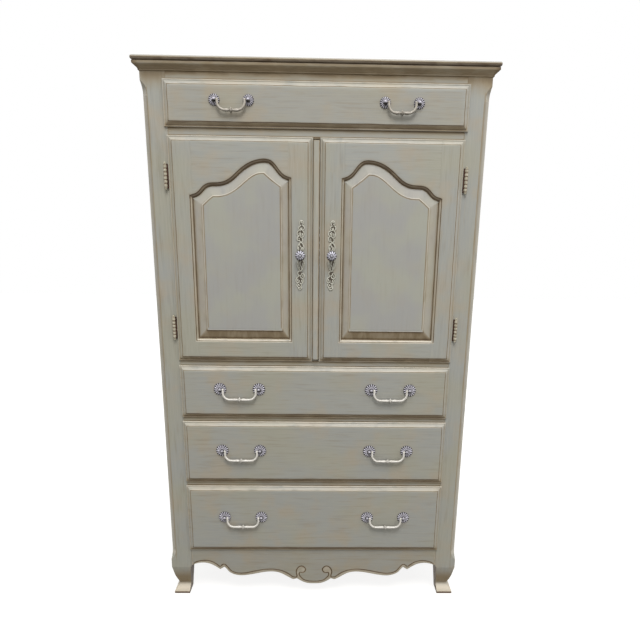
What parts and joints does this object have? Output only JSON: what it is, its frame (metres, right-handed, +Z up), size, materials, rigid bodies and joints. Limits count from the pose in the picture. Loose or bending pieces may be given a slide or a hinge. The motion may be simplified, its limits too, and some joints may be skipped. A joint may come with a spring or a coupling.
{
  "type": "tv armoire",
  "caption": "Tall painted television cabinet: panelled double doors over drawers, crown moulding, scrolled apron and short cabriole feet.",
  "frame": {"origin": "on the floor under the middle of the bounding box", "axes": "+Z up, the doors and drawers face -Y, +X to the right of a person facing the front"},
  "size_m": [1.07, 0.606, 1.782],
  "materials": {
    "painted_wood": "brushed grey-green paint with dark glaze in the mouldings and rubbed edges",
    "interior_wood": "stained, satin",
    "drawer_wood": "clear sealed pale wood",
    "back_board": "thin board, unpolished",
    "cream_hardware": "cream paint with brown glaze in the hollows",
    "pewter_hardware": "worn pewter-white over dark hollows",
    "steel": "plain steel"
  },
  "bodies": {
    "cabinet": {"top_board": "painted_wood", "crown_moulding": "painted_wood", "front_post_right": "painted_wood", "front_post_left": "painted_wood", "rear_posts": "painted_wood", "side_panel_right": "painted_wood", "side_panel_left": "painted_wood", "side_aprons": "painted_wood", "top_rail": "painted_wood", "rail_over_doors": "painted_wood", "lower_rails": "painted_wood", "apron": "painted_wood", "tv_deck": "interior_wood", "compartment_ceiling": "interior_wood", "tv_shelf": "interior_wood", "drawer_runners": "interior_wood", "back_panel": "back_board", "shelf_pins": "steel", "door_catches": "steel", "hinge_leaves_frame": "cream_hardware", "hinge_pins": "cream_hardware"},
    "left_door": {"door_left_stiles": "painted_wood", "door_left_top_rail": "painted_wood", "door_left_bottom_rail": "painted_wood", "door_left_panel": "painted_wood", "door_left_backplate": "cream_hardware", "door_left_knob": "pewter_hardware", "door_left_hinge_leaves": "cream_hardware", "door_left_astragal": "painted_wood"},
    "right_door": {"door_right_stiles": "painted_wood", "door_right_top_rail": "painted_wood", "door_right_bottom_rail": "painted_wood", "door_right_panel": "painted_wood", "door_right_backplate": "cream_hardware", "door_right_knob": "pewter_hardware", "door_right_hinge_leaves": "cream_hardware"},
    "top_drawer": {"top_drawer_front": "painted_wood", "top_drawer_box": "drawer_wood", "top_drawer_bottom": "drawer_wood", "top_drawer_rosettes": "pewter_hardware"},
    "top_drawer_left_handle": {"top_drawer_left_handle": "cream_hardware"},
    "top_drawer_right_handle": {"top_drawer_right_handle": "cream_hardware"},
    "second_drawer": {"second_drawer_front": "painted_wood", "second_drawer_box": "drawer_wood", "second_drawer_bottom": "drawer_wood", "second_drawer_rosettes": "pewter_hardware"},
    "second_drawer_left_handle": {"second_drawer_left_handle": "cream_hardware"},
    "second_drawer_right_handle": {"second_drawer_right_handle": "cream_hardware"},
    "third_drawer": {"third_drawer_front": "painted_wood", "third_drawer_box": "drawer_wood", "third_drawer_bottom": "drawer_wood", "third_drawer_rosettes": "pewter_hardware"},
    "third_drawer_left_handle": {"third_drawer_left_handle": "cream_hardware"},
    "third_drawer_right_handle": {"third_drawer_right_handle": "cream_hardware"},
    "bottom_drawer": {"bottom_drawer_front": "painted_wood", "bottom_drawer_box": "drawer_wood", "bottom_drawer_bottom": "drawer_wood", "bottom_drawer_rosettes": "pewter_hardware"},
    "bottom_drawer_left_handle": {"bottom_drawer_left_handle": "cream_hardware"},
    "bottom_drawer_right_handle": {"bottom_drawer_right_handle": "cream_hardware"}
  },
  "joints": [
    {"name": "left_door_hinge", "type": "hinge", "parent": "cabinet", "child": "left_door", "pos_m": [-0.455, -0.2635, 1.225], "axis": [0, 0, -1], "range_deg": [0, 110]},
    {"name": "right_door_hinge", "type": "hinge", "parent": "cabinet", "child": "right_door", "pos_m": [0.455, -0.2635, 1.225], "axis": [0, 0, 1], "range_deg": [0, 110]},
    {"name": "top_drawer_slide", "type": "slide", "parent": "cabinet", "child": "top_drawer", "axis": [0, -1, 0], "range_m": [0, 0.36]},
    {"name": "top_drawer_left_handle_swing", "type": "hinge", "parent": "top_drawer", "child": "top_drawer_left_handle", "pos_m": [-0.25, -0.2794, 1.668], "axis": [-1, 0, 0], "range_deg": [0, 95]},
    {"name": "top_drawer_right_handle_swing", "type": "hinge", "parent": "top_drawer", "child": "top_drawer_right_handle", "pos_m": [0.25, -0.2794, 1.668], "axis": [-1, 0, 0], "range_deg": [0, 95]},
    {"name": "second_drawer_slide", "type": "slide", "parent": "cabinet", "child": "second_drawer", "axis": [0, -1, 0], "range_m": [0, 0.36]},
    {"name": "second_drawer_left_handle_swing", "type": "hinge", "parent": "second_drawer", "child": "second_drawer_left_handle", "pos_m": [-0.25, -0.2794, 0.791], "axis": [-1, 0, 0], "range_deg": [0, 95]},
    {"name": "second_drawer_right_handle_swing", "type": "hinge", "parent": "second_drawer", "child": "second_drawer_right_handle", "pos_m": [0.25, -0.2794, 0.791], "axis": [-1, 0, 0], "range_deg": [0, 95]},
    {"name": "third_drawer_slide", "type": "slide", "parent": "cabinet", "child": "third_drawer", "axis": [0, -1, 0], "range_m": [0, 0.36]},
    {"name": "third_drawer_left_handle_swing", "type": "hinge", "parent": "third_drawer", "child": "third_drawer_left_handle", "pos_m": [-0.25, -0.2794, 0.5735], "axis": [-1, 0, 0], "range_deg": [0, 95]},
    {"name": "third_drawer_right_handle_swing", "type": "hinge", "parent": "third_drawer", "child": "third_drawer_right_handle", "pos_m": [0.25, -0.2794, 0.5735], "axis": [-1, 0, 0], "range_deg": [0, 95]},
    {"name": "bottom_drawer_slide", "type": "slide", "parent": "cabinet", "child": "bottom_drawer", "axis": [0, -1, 0], "range_m": [0, 0.36]},
    {"name": "bottom_drawer_left_handle_swing", "type": "hinge", "parent": "bottom_drawer", "child": "bottom_drawer_left_handle", "pos_m": [-0.25, -0.2794, 0.3225], "axis": [-1, 0, 0], "range_deg": [0, 95]},
    {"name": "bottom_drawer_right_handle_swing", "type": "hinge", "parent": "bottom_drawer", "child": "bottom_drawer_right_handle", "pos_m": [0.25, -0.2794, 0.3225], "axis": [-1, 0, 0], "range_deg": [0, 95]}
  ]
}
